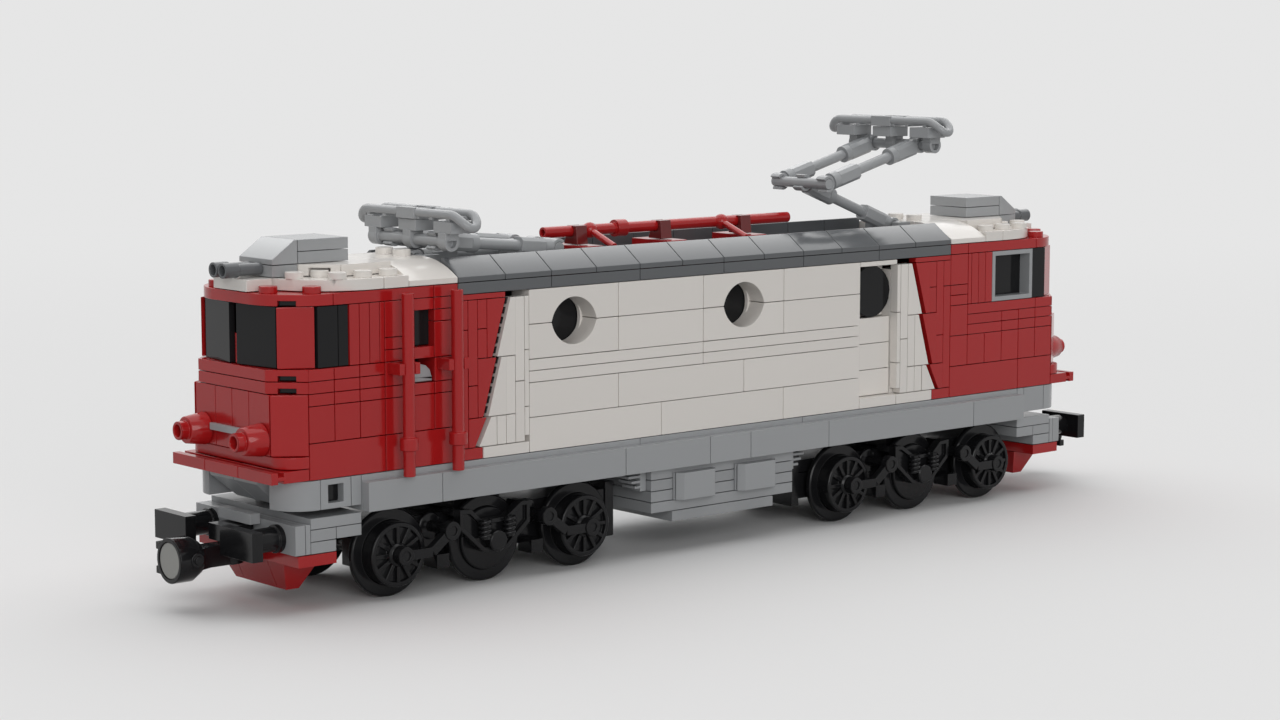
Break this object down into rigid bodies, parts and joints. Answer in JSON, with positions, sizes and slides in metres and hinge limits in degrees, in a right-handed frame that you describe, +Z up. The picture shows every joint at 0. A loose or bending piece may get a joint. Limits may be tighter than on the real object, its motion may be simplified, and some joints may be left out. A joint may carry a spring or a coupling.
{
  "type": "brick-built toy electric locomotive",
  "caption": "Brick-built toy electric locomotive in red and white with a cab at each end, pantographs on a dark roof, turning bogies, spoked wheels and magnetic couplers.",
  "frame": {"origin": "on the floor, under the middle of the body", "axes": "+X along the track towards the end with the raised pantograph, +Y away from the side the picture shows, +Z up"},
  "size_m": [0.3436, 0.0622, 0.1229],
  "materials": {
    "red": "moulded, smooth",
    "dark_red": "moulded, smooth",
    "white": "moulded, smooth",
    "light_grey": "moulded, smooth",
    "dark_grey": "moulded, smooth",
    "black": "moulded, smooth",
    "smoked_glass": "smoked clear, polished",
    "magnet_steel": "plated, dull"
  },
  "bodies": {
    "body": {"cab_doors": "red", "cab_front_nose": "red", "cab_front_walls": "red", "cab_rear_nose": "red", "cab_rear_walls": "red", "cab_roofs": "white", "cab_tops": "red", "cab_windows": "smoked_glass", "door_handles": "light_grey", "floor_frame": "light_grey", "frame_ends": "light_grey", "handrails": "red", "headlight_bars": "light_grey", "headlights": "red", "horns": "dark_grey", "pantograph_bases": "light_grey", "pipe_bases": "red", "pipe_supports": "dark_red", "porthole_arches": "white", "roof_boxes": "light_grey", "roof_edges": "dark_grey", "roof_floor": "dark_grey", "roof_pipe": "red", "roof_slopes": "dark_grey", "side_wall_far": "white", "side_wall_near": "white", "side_windows": "smoked_glass", "skirt_tiles": "light_grey", "underfloor_box": "light_grey", "underfloor_grilles": "light_grey", "wedge_red": "red", "wedge_white": "white", "window_frames": "light_grey"},
    "bogie_front": {"bogie_front_frame": "black", "bogie_front_side_gear": "black", "bogie_front_beam": "light_grey", "bogie_front_buffers": "black", "bogie_front_plough": "red"},
    "axle_front_1": {"axle_front_1": "black"},
    "axle_front_2": {"axle_front_2": "black"},
    "axle_front_3": {"axle_front_3": "black"},
    "coupler_front": {"coupler_front": "black", "coupler_front_magnet": "magnet_steel"},
    "pantograph_front_lower_arm": {"pantograph_front_lower_arm": "light_grey"},
    "pantograph_front_upper_arms": {"pantograph_front_upper_arms": "light_grey"},
    "pantograph_front_head": {"pantograph_front_head": "light_grey"},
    "bogie_rear": {"bogie_rear_frame": "black", "bogie_rear_side_gear": "black", "bogie_rear_beam": "light_grey", "bogie_rear_buffers": "black", "bogie_rear_plough": "red"},
    "axle_rear_1": {"axle_rear_1": "black"},
    "axle_rear_2": {"axle_rear_2": "black"},
    "axle_rear_3": {"axle_rear_3": "black"},
    "coupler_rear": {"coupler_rear": "black", "coupler_rear_magnet": "magnet_steel"},
    "pantograph_rear_lower_arm": {"pantograph_rear_lower_arm": "light_grey"},
    "pantograph_rear_upper_arms": {"pantograph_rear_upper_arms": "light_grey"},
    "pantograph_rear_head": {"pantograph_rear_head": "light_grey"}
  },
  "joints": [
    {"name": "bogie_front_turn", "type": "hinge", "parent": "body", "child": "bogie_front", "pos_m": [-0.084, 0, 0.02], "axis": [0, 0, 1], "range_deg": [-15, 15]},
    {"name": "axle_front_1_spin", "type": "hinge", "parent": "bogie_front", "child": "axle_front_1", "pos_m": [-0.116, 0, 0.012], "axis": [0, 1, 0], "continuous": true},
    {"name": "axle_front_2_spin", "type": "hinge", "parent": "bogie_front", "child": "axle_front_2", "pos_m": [-0.084, 0, 0.012], "axis": [0, 1, 0], "continuous": true},
    {"name": "axle_front_3_spin", "type": "hinge", "parent": "bogie_front", "child": "axle_front_3", "pos_m": [-0.052, 0, 0.012], "axis": [0, 1, 0], "continuous": true},
    {"name": "coupler_front_swing", "type": "hinge", "parent": "bogie_front", "child": "coupler_front", "pos_m": [-0.153, 0, 0.014], "axis": [0, 0, 1], "range_deg": [-12, 12]},
    {"name": "pantograph_front_raise", "type": "hinge", "parent": "body", "child": "pantograph_front_lower_arm", "pos_m": [-0.0934, 0, 0.0876], "axis": [0, -1, 0], "range_deg": [0, 43]},
    {"name": "pantograph_front_knee", "type": "hinge", "parent": "pantograph_front_lower_arm", "child": "pantograph_front_upper_arms", "pos_m": [-0.05143, 0, 0.08907], "axis": [0, -1, 0], "range_deg": [-86, 0]},
    {"name": "pantograph_front_head_level", "type": "hinge", "parent": "pantograph_front_upper_arms", "child": "pantograph_front_head", "pos_m": [-0.09323, 0, 0.09309], "axis": [0, -1, 0], "range_deg": [0, 43]},
    {"name": "bogie_rear_turn", "type": "hinge", "parent": "body", "child": "bogie_rear", "pos_m": [0.084, 0, 0.02], "axis": [0, 0, 1], "range_deg": [-15, 15]},
    {"name": "axle_rear_1_spin", "type": "hinge", "parent": "bogie_rear", "child": "axle_rear_1", "pos_m": [0.116, 0, 0.012], "axis": [0, 1, 0], "continuous": true},
    {"name": "axle_rear_2_spin", "type": "hinge", "parent": "bogie_rear", "child": "axle_rear_2", "pos_m": [0.084, 0, 0.012], "axis": [0, 1, 0], "continuous": true},
    {"name": "axle_rear_3_spin", "type": "hinge", "parent": "bogie_rear", "child": "axle_rear_3", "pos_m": [0.052, 0, 0.012], "axis": [0, 1, 0], "continuous": true},
    {"name": "coupler_rear_swing", "type": "hinge", "parent": "bogie_rear", "child": "coupler_rear", "pos_m": [0.153, 0, 0.014], "axis": [0, 0, 1], "range_deg": [-12, 12]},
    {"name": "pantograph_rear_raise", "type": "hinge", "parent": "body", "child": "pantograph_rear_lower_arm", "pos_m": [0.0934, 0, 0.0876], "axis": [0, 1, 0], "range_deg": [-13, 25]},
    {"name": "pantograph_rear_knee", "type": "hinge", "parent": "pantograph_rear_lower_arm", "child": "pantograph_rear_upper_arms", "pos_m": [0.05419, 0, 0.10265], "axis": [0, 1, 0], "range_deg": [-50, 26]},
    {"name": "pantograph_rear_head_level", "type": "hinge", "parent": "pantograph_rear_upper_arms", "child": "pantograph_rear_head", "pos_m": [0.09478, 0, 0.11345], "axis": [0, 1, 0], "range_deg": [-13, 25]}
  ],
  "couplings": [
    {"joint": "pantograph_front_knee", "follows": "pantograph_front_raise", "ratio": -2},
    {"joint": "pantograph_front_head_level", "follows": "pantograph_front_raise", "ratio": 1},
    {"joint": "pantograph_rear_knee", "follows": "pantograph_rear_raise", "ratio": -2},
    {"joint": "pantograph_rear_head_level", "follows": "pantograph_rear_raise", "ratio": 1}
  ]
}
